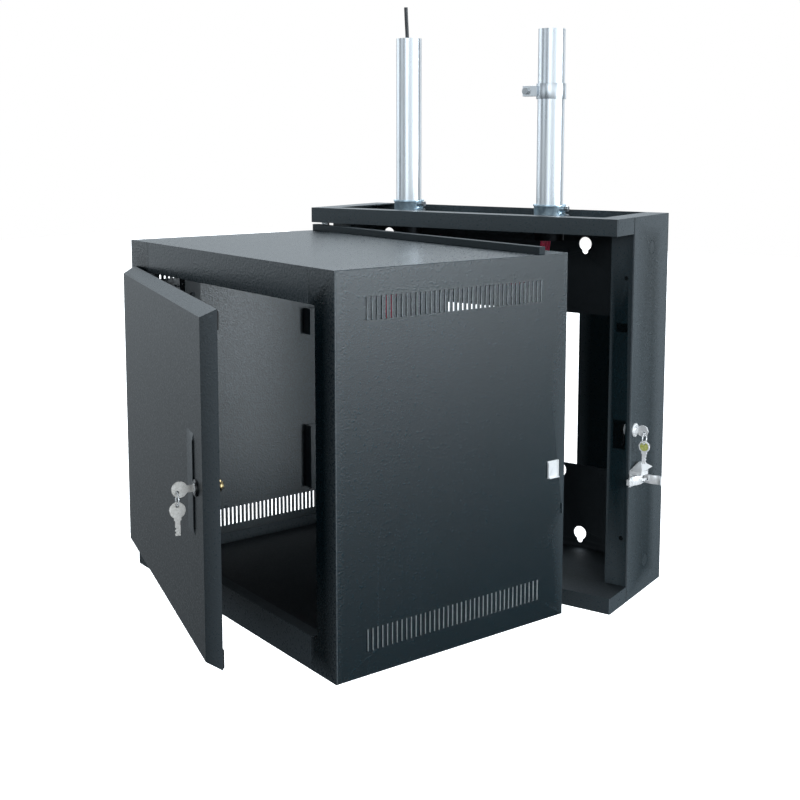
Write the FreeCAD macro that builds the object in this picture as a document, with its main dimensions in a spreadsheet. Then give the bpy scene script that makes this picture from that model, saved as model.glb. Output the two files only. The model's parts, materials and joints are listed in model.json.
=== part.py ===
import FreeCAD, Part
import Sketcher
import math
import os

# Swing-out wall mount network cabinet, 10 rack units.
# Millimetres. +Z up, the wall is the plane Y = 0 and the cabinet stands out
# towards -Y. X = 0, Z = 0 is the centre of the four wall keyholes.

V = FreeCAD.Vector
P = FreeCAD.Placement
R = FreeCAD.Rotation

doc = FreeCAD.newDocument("wall_mount_network_cabinet")
sheet = doc.addObject("Spreadsheet::Sheet", "Dims")

DIMS = [
    # centre section
    ("SecW", 584.0), ("SecD", 405.0), ("SecH", 540.0), ("Sheet", 2.0),
    ("StileW", 45.0), ("TabW", 61.0), ("BeamLo", 47.0), ("BeamHi", 492.0), ("FoldD", 18.0),
    ("VentPitch", 8.0), ("VentN", 39.0), ("VentStart", 47.8), ("VentW", 3.2), ("VentLen", 30.5),
    ("VentLoZ", 33.0), ("VentHiZ", 473.0),
    ("StripBack", 56.0), ("StripT", 11.0), ("StripD", 12.0),
    # back pan
    ("PanW", 584.0), ("PanD", 205.0), ("PanH", 622.0), ("SideY", 64.0), ("RailT", 26.0),
    ("Lift", 41.0), ("RearGap", 3.0), ("FlangeW", 36.0), ("RearFlange", 155.0),
    ("PlateTopZ", 443.0), ("PlateLowZ", 175.0),
    ("KeyXa", 30.0), ("KeyXb", 436.4), ("KeyHiZ", 564.0), ("KeyLoZ", 52.0), ("KeyHeadR", 11.8),
    ("KeySlotW", 11.0), ("KeyDrop", 12.0),
    ("PivX", 12.0), ("PivY", 25.0), ("PinRad", 4.0), ("BushRad", 6.0), ("RunFit", 0.1),
    ("SwingNow", 19.26),
    # conduits
    ("CondXa", 134.0), ("CondXb", 413.0), ("CondY", 110.0), ("EmtRo", 22.1), ("EmtRi", 20.4),
    ("CondTopA", 917.0), ("CondTopB", 921.0), ("ConnRo", 27.0), ("ConnTop", 635.0),
    ("ThreadRo", 24.3), ("ThreadEnd", 576.0), ("NutRo", 30.0),
    # rack rails
    ("RackHalf", 232.55), ("RailBack", 60.0), ("RackUnit", 44.45), ("RailHoleR", 2.4), ("RailFace", 16.0),
    # door
    ("DoorU", 12.0), ("DoorW", 545.0), ("DoorLo", 42.5), ("DoorHi", 499.0), ("DoorT", 19.6),
    ("DoorGap", 3.0), ("Bevel", 10.5), ("Skin", 1.5), ("DoorNow", 14.83),
    ("HingeX", 6.2), ("HingeY", 5.5), ("HingePinR", 1.2),
    ("LockX", 501.0), ("LockZ", 268.0), ("BarrelR", 9.4), ("PlugR", 6.0),
    ("PullZ", 202.0), ("PullH", 133.0),
    # keys
    ("BowR", 10.5), ("PanBowR", 9.3), ("KeyT", 2.0), ("BladeW", 7.0), ("BladeL", 22.0), ("PanBladeL", 18.5),
    ("RingR", 8.6), ("RingWire", 0.9),
    # back pan lock and draw latch
    ("PanLockY", 82.0), ("PanLockZ", 281.0), ("LatchZ", 204.0),
    # cables
    ("FeedR", 3.2), ("DataR", 2.7),
]
for i, (name, value) in enumerate(DIMS, 1):
    sheet.set("A%d" % i, name)
    sheet.set("B%d" % i, str(value))
    sheet.setAlias("B%d" % i, name)
doc.recompute()


class Q(object):
    """A number together with the spreadsheet expression that makes it."""
    def __init__(self, v, e=None):
        self.v = float(v)
        self.e = e if e is not None else repr(float(v))

    @staticmethod
    def of(o):
        return o if isinstance(o, Q) else Q(o)

    def __add__(self, o): o = Q.of(o); return Q(self.v + o.v, "(%s + %s)" % (self.e, o.e))
    def __radd__(self, o): return Q.of(o) + self
    def __sub__(self, o): o = Q.of(o); return Q(self.v - o.v, "(%s - %s)" % (self.e, o.e))
    def __rsub__(self, o): return Q.of(o) - self
    def __mul__(self, o): o = Q.of(o); return Q(self.v * o.v, "(%s * %s)" % (self.e, o.e))
    def __rmul__(self, o): return Q.of(o) * self
    def __truediv__(self, o): o = Q.of(o); return Q(self.v / o.v, "(%s / %s)" % (self.e, o.e))
    def __neg__(self): return Q(-self.v, "(0 - %s)" % self.e)
    def __float__(self): return self.v


D = {name: Q(value, "Dims." + name) for name, value in DIMS}
SecW, SecD, SecH, T = D["SecW"], D["SecD"], D["SecH"], D["Sheet"]
PanW, PanD, PanH, SideY, RailT = D["PanW"], D["PanD"], D["PanH"], D["SideY"], D["RailT"]

parts = []          # (object, label) of every sub-part
serial = [0]


def tmp(kind, hint):
    serial[0] += 1
    return doc.addObject(kind, "%s_%03d" % (hint, serial[0]))


def bind(obj, prop, q):
    q = Q.of(q)
    if "Dims." in q.e:
        obj.setExpression(prop, q.e)


def setq(obj, prop, q):
    q = Q.of(q)
    setattr(obj, prop, q.v)
    bind(obj, prop, q)


def place(obj, x, y, z, rot=None):
    x, y, z = Q.of(x), Q.of(y), Q.of(z)
    obj.Placement = P(V(x.v, y.v, z.v), rot if rot else R())
    bind(obj, "Placement.Base.x", x)
    bind(obj, "Placement.Base.y", y)
    bind(obj, "Placement.Base.z", z)


def box(x0, x1, y0, y1, z0, z1):
    """Block between opposite corners."""
    x0, x1, y0, y1, z0, z1 = [Q.of(q) for q in (x0, x1, y0, y1, z0, z1)]
    o = tmp("Part::Box", "block")
    setq(o, "Length", x1 - x0)
    setq(o, "Width", y1 - y0)
    setq(o, "Height", z1 - z0)
    place(o, x0, y0, z0)
    return o


ROT = {"z": R(), "x": R(V(0, 1, 0), 90), "y": R(V(1, 0, 0), -90)}


def cyl(r, axis, a, b, p, q):
    """Cylinder of radius r along an axis from a to b; p, q are the other two
    coordinates in x, y, z order."""
    a, b, p, q = [Q.of(k) for k in (a, b, p, q)]
    o = tmp("Part::Cylinder", "round")
    setq(o, "Radius", r)
    setq(o, "Height", b - a)
    if axis == "z":
        place(o, p, q, a)
    elif axis == "x":
        place(o, a, p, q, ROT["x"])
    else:
        place(o, p, a, q, ROT["y"])
    return o


def poly(pts, z0, z1):
    """Upright prism on a closed outline in the XY plane."""
    w = tmp("Part::Polygon", "outline")
    w.Nodes = [V(x, y, 0) for x, y in pts]
    w.Close = True
    e = tmp("Part::Extrusion", "prism")
    e.Base = w
    e.DirMode = "Custom"
    e.Dir = V(0, 0, 1)
    e.Solid = True
    z0, z1 = Q.of(z0), Q.of(z1)
    setq(e, "LengthFwd", z1 - z0)
    place(e, 0, 0, z0)
    return e


def hexa(af, axis, a, b, p, q):
    """Hexagon prism, af across flats."""
    o = tmp("Part::Prism", "hex")
    o.Polygon = 6
    a, b, p, q = [Q.of(k) for k in (a, b, p, q)]
    o.Circumradius = Q.of(af).v / math.sqrt(3.0)
    setq(o, "Height", b - a)
    if axis == "z":
        place(o, p, q, a)
    elif axis == "x":
        place(o, a, p, q, ROT["x"])
    else:
        place(o, p, a, q, ROT["y"])
    return o


def fuse(*objs):
    objs = [o for o in objs if o is not None]
    if len(objs) == 1:
        return objs[0]
    o = tmp("Part::MultiFuse", "joined")
    o.Shapes = list(objs)
    o.Refine = True
    return o


def cut(base, *tools):
    o = tmp("Part::Cut", "cut")
    o.Base = base
    o.Tool = fuse(*tools)
    o.Refine = True
    return o


def group(*objs):
    o = tmp("Part::Compound", "set")
    o.Links = list(objs)
    return o


def ring(ro, ri, axis, a, b, p, q):
    a, b = Q.of(a), Q.of(b)
    return cut(cyl(ro, axis, a, b, p, q), cyl(ri, axis, a - 1, b + 1, p, q))


def done(obj, label, frame):
    """Registers a sub-part: its label and its place in the cabinet."""
    if obj.TypeId in ("Part::Box", "Part::Cylinder", "Part::Torus", "Part::Extrusion", "Part::Prism"):
        obj = group(obj)
    obj.Label = label
    obj.Placement = frame
    parts.append((obj, label))
    return obj


# ---------------------------------------------------------------- frames
# Back pan frame: x from its left side, y from the front face of its rails to
# the wall, z from its lower edge.
FB = P(V(-(D["KeyXa"].v + D["KeyXb"].v) / 2, -PanD.v, -(D["KeyHiZ"].v + D["KeyLoZ"].v) / 2), R())
# Section frame: u from its left side, v from its front face, z from its floor.
sv = SideY.v - D["RearGap"].v - SecD.v
piv = V(D["PivX"].v, D["PivY"].v, 0)
FS = (FB.multiply(P(piv, R(V(0, 0, 1), -D["SwingNow"].v)))
      .multiply(P(V(-piv.x, -piv.y, 0), R())).multiply(P(V(0, sv, D["Lift"].v), R())))
# Door frame: x from its hinged edge, y from its back plane (negative towards
# the front), z as the section's.
hx, hy = D["HingeX"].v, -D["HingeY"].v
FD = (FS.multiply(P(V(D["DoorU"].v + hx, -D["DoorGap"].v + hy, 0), R(V(0, 0, 1), -D["DoorNow"].v)))
      .multiply(P(V(-hx, -hy, 0), R())))


# ------------------------------------------------------- sketch helpers
def plane(body, role):
    return [f for f in body.Origin.OriginFeatures if f.Role == role][0]


def sketch(body, name, role="XY_Plane"):
    s = body.newObject("Sketcher::SketchObject", name)
    s.AttachmentSupport = [(plane(body, role), "")]
    s.MapMode = "FlatFace"
    return s


def from_origin(s, geo, pos, q, across):
    """Fixes one coordinate of a sketch point, from the sketch's origin."""
    if abs(q.v) < 1e-9:
        s.addConstraint(Sketcher.Constraint("PointOnObject", geo, pos, -2 if across == "DistanceX" else -1))
        return
    k = s.addConstraint(Sketcher.Constraint(across, -1, 1, geo, pos, q.v))
    bind(s, "Constraints[%d]" % k, q)


def rect(s, x0, y0, w, t):
    x0, y0, w, t = [Q.of(k) for k in (x0, y0, w, t)]
    a, b = V(x0.v, y0.v, 0), V((x0 + w).v, y0.v, 0)
    c, d = V((x0 + w).v, (y0 + t).v, 0), V(x0.v, (y0 + t).v, 0)
    i = s.GeometryCount
    for m, n in ((a, b), (b, c), (c, d), (d, a)):
        s.addGeometry(Part.LineSegment(m, n), False)
    C = Sketcher.Constraint
    for j in range(4):
        s.addConstraint(C("Coincident", i + j, 2, i + (j + 1) % 4, 1))
    s.addConstraint(C("Horizontal", i))
    s.addConstraint(C("Horizontal", i + 2))
    s.addConstraint(C("Vertical", i + 1))
    s.addConstraint(C("Vertical", i + 3))
    k = s.addConstraint(C("DistanceX", i, 1, i, 2, w.v)); bind(s, "Constraints[%d]" % k, w)
    k = s.addConstraint(C("DistanceY", i + 1, 1, i + 1, 2, t.v)); bind(s, "Constraints[%d]" % k, t)
    from_origin(s, i, 1, x0, "DistanceX")
    from_origin(s, i, 1, y0, "DistanceY")


def circle(s, x, y, r):
    x, y, r = [Q.of(k) for k in (x, y, r)]
    i = s.addGeometry(Part.Circle(V(x.v, y.v, 0), V(0, 0, 1), r.v), False)
    k = s.addConstraint(Sketcher.Constraint("Radius", i, r.v)); bind(s, "Constraints[%d]" % k, r)
    from_origin(s, i, 3, x, "DistanceX")
    from_origin(s, i, 3, y, "DistanceY")


def pad(body, s, q, back=False):
    f = body.newObject("PartDesign::Pad", s.Name + "_pad")
    f.Profile = s
    q = Q.of(q)
    f.Length = q.v
    bind(f, "Length", q)
    f.Reversed = back
    body.Tip = f
    return f


def pocket(body, s):
    """Cuts right through the sheet; both ways, so its direction can't miss."""
    f = body.newObject("PartDesign::Pocket", s.Name + "_pocket")
    f.Profile = s
    f.Type = "ThroughAll"
    f.Midplane = True
    body.Tip = f
    return f


def row(body, feature, s, axis, length, n):
    length, n = Q.of(length), Q.of(n)
    f = body.newObject("PartDesign::LinearPattern", feature.Name + "_row")
    f.Originals = [feature]
    f.Direction = (s, [axis])
    f.Length = length.v
    bind(f, "Length", length)
    f.Occurrences = int(n.v)
    body.Tip = f
    return f


TURN = R(V(1, 1, 1), 120)      # body x, y, z become v, z, u of the section
UPRIGHT = R(V(1, 0, 0), 90)    # body x, y become x, z; its z points to -y


def body_done(body, label, frame, local):
    body.Label = label
    body.Placement = frame.multiply(local)
    parts.append((body, label))


# ================================================================ back pan
def rail_pan(label, low):
    """Top or bottom pan: a tray with a front rail that reaches past the side
    channels and folds in again at its lip."""
    if low:
        f0, f1 = RailT - T, RailT          # web next to the cabinet's inside
        l0, l1 = Q(0), T                   # outer lip
        w0, w1 = Q(0), RailT
        i0, i1 = T, RailT - T
    else:
        f0, f1 = PanH - RailT, PanH - RailT + T
        l0, l1 = PanH - T, PanH
        w0, w1 = PanH - RailT, PanH
        i0, i1 = PanH - RailT + T, PanH - T
    shell = fuse(
        box(T, PanW - T, T, PanD - T, f0, f1),
        box(0, PanW, 0, T, w0, w1),
        box(0, T, T, SideY, w0, w1),
        box(PanW - T, PanW, T, SideY, w0, w1),
        box(T, PanW - T, T, SideY / 2, l0, l1),
        box(T, D["FlangeW"] + T, SideY / 2, SideY, l0, l1),
        box(PanW - T - D["FlangeW"], PanW - T, SideY / 2, SideY, l0, l1),
        box(T, PanW - T, PanD - 2 * T, PanD - T, i0, (PanH if not low else i1)) if not low else
        box(T, PanW - T, PanD - 2 * T, PanD - T, 0, i1),
    )
    tools = [cyl(D["PinRad"], "z", f0 - 5, f1 + 5, D["PivX"], D["PivY"])]
    # knockouts: scored discs left in the web for other conduit runs
    for kx, ky, kr in ((273.5, 110.0, 22.0), (500.0, 110.0, 17.5), (60.0, 110.0, 17.5)):
        z0, z1 = (f1 - 0.6, f1 + 1) if not low else (f0 - 1, f0 + 0.6)
        tools.append(cut(cyl(kr + 0.4, "z", z0, z1, kx, ky), cyl(kr - 0.4, "z", z0 - 1, z1 + 1, kx, ky)))
    if not low:
        for cx in (D["CondXa"], D["CondXb"]):
            tools.append(cyl(D["ThreadRo"], "z", f0 - 5, f1 + 5, cx, D["CondY"]))
    else:
        for cx in (D["CondXa"], D["CondXb"]):
            z0, z1 = f0 - 1, f0 + 0.6
            tools.append(cut(cyl(24.7, "z", z0, z1, cx, D["CondY"]), cyl(23.9, "z", z0 - 1, z1 + 1, cx, D["CondY"])))
    done(cut(shell, *tools), label, FB)


rail_pan("top_pan", False)
rail_pan("bottom_pan", True)


def side_channel(label, right):
    """Folded side of the back pan: outer web, front flange that the section
    closes against, wide rear flange on the wall, lips at top and bottom."""
    FW, RF = D["FlangeW"], D["RearFlange"]
    if right:
        web = (PanW - T, PanW)
        inn = lambda w: (PanW - T - w, PanW - T)
    else:
        web = (Q(0), T)
        inn = lambda w: (T, T + w)
    shell = fuse(
        box(web[0], web[1], SideY, PanD, 0, PanH),
        box(inn(FW)[0], inn(FW)[1], SideY, SideY + T, RailT, PanH - RailT),
        box(inn(RF)[0], inn(RF)[1], PanD - T, PanD, 0, PanH),
        box(inn(FW)[0], inn(FW)[1], SideY, PanD - 2 * T, PanH - T, PanH),
        box(inn(FW)[0], inn(FW)[1], SideY, PanD - 2 * T, 0, T),
    )
    kx = D["KeyXb"] if right else D["KeyXa"]
    tools = []
    for kz in (D["KeyHiZ"], D["KeyLoZ"]):
        tools.append(box(kx - 17, kx + 17, PanD - T - 1, PanD + 1, kz - 32, kz + 18))
    # side knockouts
    for z in (Q(50), PanH - 52):
        xs = (PanW - 0.6, PanW + 1) if right else (Q(-1), Q(0.6))
        tools.append(cut(cyl(11.4, "x", xs[0], xs[1], 137, z), cyl(10.7, "x", xs[0] - 1, xs[1] + 1, 137, z)))
    if right:
        tools += [
            cyl(3.5, "y", SideY - 1, SideY + T + 1, 572, 525.7),
            cyl(4.0, "y", SideY - 1, SideY + T + 1, 572, 104.7),
            box(556, 576, SideY - 1, SideY + T + 1, 440, 454),
            box(554, 576, SideY - 1, SideY + T + 1, 251, 298),
            cyl(D["BarrelR"], "x", PanW - T - 1, PanW + 1, D["PanLockY"], D["PanLockZ"]),
        ]
    else:
        tools += [
            cyl(3.5, "y", SideY - 1, SideY + T + 1, 12, 525.7),
            cyl(4.0, "y", SideY - 1, SideY + T + 1, 12, 104.7),
        ]
    done(cut(shell, *tools), label, FB)


side_channel("side_channel_left", False)
side_channel("side_channel_right", True)


def wall_plate(label, z0, z1, kz, extra):
    """Cross plate of the back wall with a pair of keyholes 406.4 mm apart."""
    body = doc.addObject("PartDesign::Body", label + "_body")
    s = sketch(body, label + "_outline")
    rect(s, T, z0, PanW - 2 * T, z1 - z0)
    pad(body, s, T)
    h = sketch(body, label + "_heads")
    for kx in (D["KeyXa"], D["KeyXb"]):
        circle(h, kx, kz, D["KeyHeadR"])
    for x, z, r in extra:
        circle(h, x, z, r)
    pocket(body, h)
    w = sketch(body, label + "_slots")
    for kx in (D["KeyXa"], D["KeyXb"]):
        rect(w, kx - D["KeySlotW"] / 2, kz - D["KeyDrop"], D["KeySlotW"], D["KeyDrop"])
    pocket(body, w)
    e = sketch(body, label + "_ends")
    for kx in (D["KeyXa"], D["KeyXb"]):
        circle(e, kx, kz - D["KeyDrop"], D["KeySlotW"] / 2)
    pocket(body, e)
    body_done(body, label, FB, P(V(0, (PanD - T).v, 0), UPRIGHT))


wall_plate("wall_plate_top", D["PlateTopZ"], PanH - RailT, D["KeyHiZ"], [])
wall_plate("wall_plate_bottom", RailT, D["PlateLowZ"], D["KeyLoZ"], [(394.0, 161.0, 13.4), (190.0, 161.0, 13.4)])

# ---- pivot of the swing-out section
pz0, pz1 = PanH - RailT, PanH - RailT + T
done(group(
    fuse(cyl(D["PinRad"], "z", pz0 - 29, pz1, D["PivX"], D["PivY"]), cyl(8.0, "z", pz1, pz1 + 4, D["PivX"], D["PivY"])),
    fuse(cyl(D["PinRad"], "z", RailT - T, RailT + 29, D["PivX"], D["PivY"]), cyl(8.0, "z", RailT - T - 4, RailT - T, D["PivX"], D["PivY"])),
), "pivot_pins", FB)
done(group(
    ring(6.9, D["PinRad"], "z", PanH - RailT - 13.8, PanH - RailT, D["PivX"], D["PivY"]),
    ring(6.9, D["PinRad"], "z", RailT, RailT + 13.8, D["PivX"], D["PivY"]),
), "pivot_spacers", FB)

# ---- conduits, their set-screw connectors and the clamp
SHOULDER = PanH - RailT + T


def connector(cx):
    body = cut(
        fuse(cyl(D["ConnRo"] - 1.2, "z", SHOULDER + 3, D["ConnTop"] - 3, cx, D["CondY"]),
             cyl(D["ConnRo"], "z", SHOULDER, SHOULDER + 3, cx, D["CondY"]),
             cyl(D["ConnRo"], "z", D["ConnTop"] - 3, D["ConnTop"], cx, D["CondY"]),
             cyl(D["ThreadRo"], "z", D["ThreadEnd"], SHOULDER, cx, D["CondY"]),
             cyl(5.2, "x", cx + 20, cx + 31, D["CondY"] - 6, 631 - 2),
             cyl(5.2, "x", cx + 20, cx + 31, D["CondY"] - 6, 617 - 1)),
        cyl(D["EmtRo"], "z", SHOULDER + 2, D["ConnTop"] + 5, cx, D["CondY"]),
        cyl(D["EmtRi"], "z", D["ThreadEnd"] - 1, SHOULDER + 3, cx, D["CondY"]),
        cyl(2.6, "x", cx + 24.5, cx + 40, D["CondY"] - 6, 631 - 2),
        cyl(2.6, "x", cx + 24.5, cx + 40, D["CondY"] - 6, 617 - 1),
    )
    return body


def tube(cx, top, marks):
    """Conduit with a shallow score round it where each fitting ends."""
    return cut(cyl(D["EmtRo"], "z", SHOULDER + 2, top, cx, D["CondY"]),
               cyl(D["EmtRi"], "z", SHOULDER + 1, top + 1, cx, D["CondY"]),
               *[ring(D["EmtRo"] + 1, D["EmtRo"] - 0.35, "z", z, z + 0.6, cx, D["CondY"]) for z in marks])


done(tube(D["CondXa"], D["CondTopA"], [D["ConnTop"]]), "conduit_left", FB)
done(tube(D["CondXb"], D["CondTopB"], [D["ConnTop"], Q(833.0)]), "conduit_right", FB)
done(group(connector(D["CondXa"]), connector(D["CondXb"])), "conduit_connectors", FB)


def set_screw(cx, z):
    return cut(fuse(cyl(2.6, "x", cx + 24.5, cx + 33, D["CondY"] - 6, z), cyl(4.4, "x", cx + 33, cx + 37.5, D["CondY"] - 6, z)),
               box(cx + 36.2, cx + 39, (D["CondY"] - 6.7), (D["CondY"] - 5.3), z - 6, z + 6))


done(group(*[set_screw(cx, z) for cx in (D["CondXa"], D["CondXb"]) for z in (629, 616)]), "connector_screws", FB)


def locknut(cx):
    z1 = PanH - RailT
    teeth = [box(cx - 33, cx + 33, D["CondY"] - 4, D["CondY"] + 4, z1 - 6, z1),
             box(cx - 4, cx + 4, D["CondY"] - 33, D["CondY"] + 33, z1 - 6, z1)]
    return cut(fuse(cyl(D["NutRo"], "z", z1 - 6, z1, cx, D["CondY"]), *teeth),
               cyl(D["ThreadRo"], "z", z1 - 8, z1 + 2, cx, D["CondY"]))


done(group(locknut(D["CondXa"]), locknut(D["CondXb"])), "conduit_locknuts", FB)

cz0, cz1 = 808.0, 833.0
cxb, cy = D["CondXb"], D["CondY"]
clamp = cut(
    fuse(cyl(D["EmtRo"] + 2.2, "z", cz0, cz1, cxb, cy),
         box(cxb - 40, cxb - 14, cy - 24.3, cy - 14.5, cz0 + 4, cz1 - 4),
         cyl(8.5, "y", cy - 24.3, cy - 14.5, cxb - 33, (cz0 + cz1) / 2)),
    cyl(D["EmtRo"], "z", cz0 - 1, cz1 + 1, cxb, cy),
    box(cxb - 45, cxb - 14, cy - 20.4, cy - 18.4, cz0 - 1, cz1 + 1),
    cyl(3.0, "y", cy - 30, cy - 10, cxb - 33, (cz0 + cz1) / 2),
)
done(clamp, "conduit_clamp", FB)
done(fuse(cyl(3.0, "y", cy - 25, cy - 8, cxb - 33, (cz0 + cz1) / 2),
          hexa(10.0, "y", cy - 29.3, cy - 24.3, cxb - 33, (cz0 + cz1) / 2),
          hexa(10.0, "y", cy - 14.5, cy - 9.5, cxb - 33, (cz0 + cz1) / 2)), "clamp_bolt", FB)


# ---- cables: straight runs joined by tangent arcs
def cable(label, pts, r, frame=FB):
    pts = [V(*p) for p in pts]
    n = len(pts)
    edges, here, report = [], pts[0], []
    total = 0.0
    for i in range(1, n - 1):
        a, b, c = pts[i - 1], pts[i], pts[i + 1]
        d1, d2 = b.sub(a), c.sub(b)
        l1, l2 = d1.Length, d2.Length
        d1.normalize(); d2.normalize()
        ang = math.acos(max(-1.0, min(1.0, d1.dot(d2))))
        cutl = 0.45 * min(l1, l2)
        rad = cutl / math.tan(ang / 2)
        report.append(rad)
        s, e = b.sub(d1 * cutl), b.add(d2 * cutl)
        bis = d2.sub(d1); bis.normalize()
        centre = b.add(bis * (rad / math.cos(ang / 2)))
        mid = centre.add((b.sub(centre)).normalize() * rad)
        if s.sub(here).Length > 1e-6:
            edges.append(Part.LineSegment(here, s).toShape())
            total += s.sub(here).Length
        edges.append(Part.Arc(s, mid, e).toShape())
        total += rad * ang
        here = e
    edges.append(Part.LineSegment(here, pts[-1]).toShape())
    total += pts[-1].sub(here).Length
    path = Part.Wire(edges)
    t = pts[1].sub(pts[0])
    prof = Part.Wire([Part.Circle(pts[0], t, r).toShape()])
    shape = path.makePipeShell([prof], True, False)
    if shape.ShapeType != "Solid":
        shape = Part.Solid(Part.Shell(shape.Faces))
    want = math.pi * r * r * total
    print("cable %s length %.1f mm, smallest radius %.1f mm, volume ratio %.4f"
          % (label, total, min(report) if report else 0, shape.Volume / want))
    o = doc.addObject("Part::Feature", label)
    o.Shape = shape
    o.Label = label
    o.Placement = frame
    parts.append((o, label))
    return total


xa, xb, yc = D["CondXa"].v, D["CondXb"].v, D["CondY"].v
FEED = [(xa - 1.0, yc - 2.0, 880.0), (xa - 1.6, yc - 2.5, 905.0), (xa - 2.6, yc - 2.6, 930.0),
        (xa - 4.4, yc - 2.2, 952.0), (xa - 5.4, yc - 2.0, 971.0)]
cable("feed_cable", FEED, D["FeedR"].v)

# four data leads out of the right conduit: down, across the pan in a low
# swag, over a hump and down the hinge side to the lower pan
for k in range(4):
    y = 98.0 + 6.2 * k
    dx = 1.3 * k
    dz = -1.2 * k
    route = [
        (xb - 6.0 + dx, y, 592.0), (xb - 6.5 + dx, y, 563.0), (xb - 16.0 + dx, y, 535.0),
        (xb - 38.0 + dx, y, 512.0 + dz), (xb - 70.0 + dx, y, 500.0 + dz), (xb - 106.0 + dx, y, 501.0 + dz),
        (xb - 142.0 + dx, y, 516.0 + dz), (xb - 174.0 + dx, y, 540.0 + dz), (xb - 206.0 + dx, y, 559.0 + dz),
        (xb - 242.0 + dx, y, 562.0 + dz), (xb - 275.0 + dx, y, 546.0 + dz), (xb - 300.0 + dx, y, 516.0 + dz),
        (xb - 316.0 + dx, y, 474.0 + dz), (xb - 324.0 + dx, y, 424.0), (xb - 327.0 + dx, y, 370.0),
        (xb - 325.0 + dx, y, 314.0), (xb - 320.0 + dx, y, 258.0), (xb - 316.0 + dx, y, 202.0),
        (xb - 316.0 + dx, y, 150.0), (xb - 318.0 + dx, y, 104.0), (xb - 310.0 + dx, y, 66.0),
        (xb - 286.0 + dx, y, 40.0), (xb - 250.0 + dx, y, 29.5), (xb - 208.0 + dx, y, 28.95), (xb - 166.0 + dx, y, 28.9),
    ]
    cable("data_cable_%d" % (k + 1), route, D["DataR"].v)

# ---- draw latch on the right side of the pan
LZ = D["LatchZ"]
XR = PanW.v                      # outer face of the right side
PX, PY = XR + 12.0, 89.0         # lever pivot
CX, CY = PX + 6.0, PY - 2.0      # claw pivot on the lever
CHEEK = [(XR, 65.5), (XR + 20.0, 66.5), (XR + 24.0, 84.0), (XR + 19.0, 95.0), (XR, 114.0)]
gusset = tmp("Part::Wedge", "gusset")
for prop, val in (("Xmin", 0.0), ("Xmax", 21.0), ("Ymin", 0.0), ("Ymax", 11.0), ("Zmin", 0.0), ("Zmax", 44.0),
                  ("X2min", 7.0), ("X2max", 11.0), ("Z2min", 18.0), ("Z2max", 24.0)):
    setattr(gusset, prop, val)
gusset.Placement = P(V(XR, 66.5 + 44.0, (LZ + 14.0).v), R(V(1, 0, 0), 90))
done(cut(fuse(
    poly([(XR, 65.5), (XR + 1.8, 65.5), (XR + 1.8, 114.0), (XR, 114.0)], LZ - 7, LZ + 14),
    poly(CHEEK, LZ + 8.2, LZ + 14), gusset),
    cyl(1.5, "z", LZ - 25, LZ + 16.5, PX, PY)), "latch_base", FB)


def thick(pts, t):
    """Outline of a bent plate of thickness t along a line of points."""
    left, right = [], []
    for i, (x, y) in enumerate(pts):
        a = pts[max(i - 1, 0)]
        b = pts[min(i + 1, len(pts) - 1)]
        dx, dy = b[0] - a[0], b[1] - a[1]
        k = math.hypot(dx, dy)
        nx, ny = -dy / k * t / 2, dx / k * t / 2
        left.append((x + nx, y + ny))
        right.append((x - nx, y - ny))
    return left + right[::-1]


def arc(p, q, r, n):
    """Points on a quadratic curve from p to r pulled towards q."""
    out = []
    for i in range(n + 1):
        s = i / float(n)
        out.append(((1 - s) ** 2 * p[0] + 2 * s * (1 - s) * q[0] + s * s * r[0],
                    (1 - s) ** 2 * p[1] + 2 * s * (1 - s) * q[1] + s * s * r[1]))
    return out


handle = arc((PX + 1.5, PY), (PX + 14.0, PY - 8.0), (PX + 24.0, PY - 4.5), 8)
handle += arc((PX + 24.0, PY - 4.5), (PX + 32.0, PY - 1.5), (PX + 35.0, PY - 7.0), 6)[1:]
lever = cut(fuse(
    cut(poly(thick(handle, 2.4), LZ - 7, LZ + 7), box(PX + 2.7, PX + 12.5, PY - 12, PY + 4, LZ - 2.4, LZ + 2.4)),
    cut(cyl(3.0, "z", LZ - 7, LZ + 7, PX, PY), box(PX + 2.7, PX + 4, PY - 4, PY + 4, LZ - 2.4, LZ + 2.4)),
    poly(thick([(PX, PY), (CX, CY)], 2.6), LZ - 7, LZ - 2.6),
    poly(thick([(PX, PY), (CX, CY)], 2.6), LZ + 2.6, LZ + 7),
    cyl(2.6, "z", LZ - 7, LZ - 2.6, CX, CY), cyl(2.6, "z", LZ + 2.6, LZ + 7, CX, CY)),
    cyl(1.55, "z", LZ - 8, LZ + 8, PX, PY))
lever = fuse(lever, cyl(1.2, "z", LZ - 7, LZ + 7, CX, CY))
done(lever, "latch_lever", FB)
claw_line = arc((CX - 1.0, CY - 12.0), (CX - 3.5, CY - 23.0), (XR + 9.5, 57.0), 6)
claw_line += arc((XR + 9.5, 57.0), (XR + 8.4, 50.5), (XR + 9.0, 44.6), 6)[1:]
claw = cut(fuse(
    poly(thick(claw_line, 2.2), LZ - 7, LZ + 7),
    poly(thick([(CX, CY), (CX + 3.0, CY - 3.0), (CX + 3.0, CY - 9.0), (CX - 0.6, CY - 12.6)], 2.2), LZ - 2, LZ + 2),
    cyl(2.6, "z", LZ - 2, LZ + 2, CX, CY),
    poly([(XR + 9.6, 44.4), (XR + 4.3, 44.8), (XR + 4.3, 47.8), (XR + 9.6, 47.8)], LZ - 4.5, LZ + 4.5)),
    cyl(1.25, "z", LZ - 8, LZ + 8, CX, CY))
done(claw, "latch_claw", FB)
done(fuse(cyl(1.5, "z", LZ - 9, LZ + 16, PX, PY), cyl(2.6, "z", LZ - 9.2, LZ - 7.2, PX, PY)), "latch_pivot_pin", FB)


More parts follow.
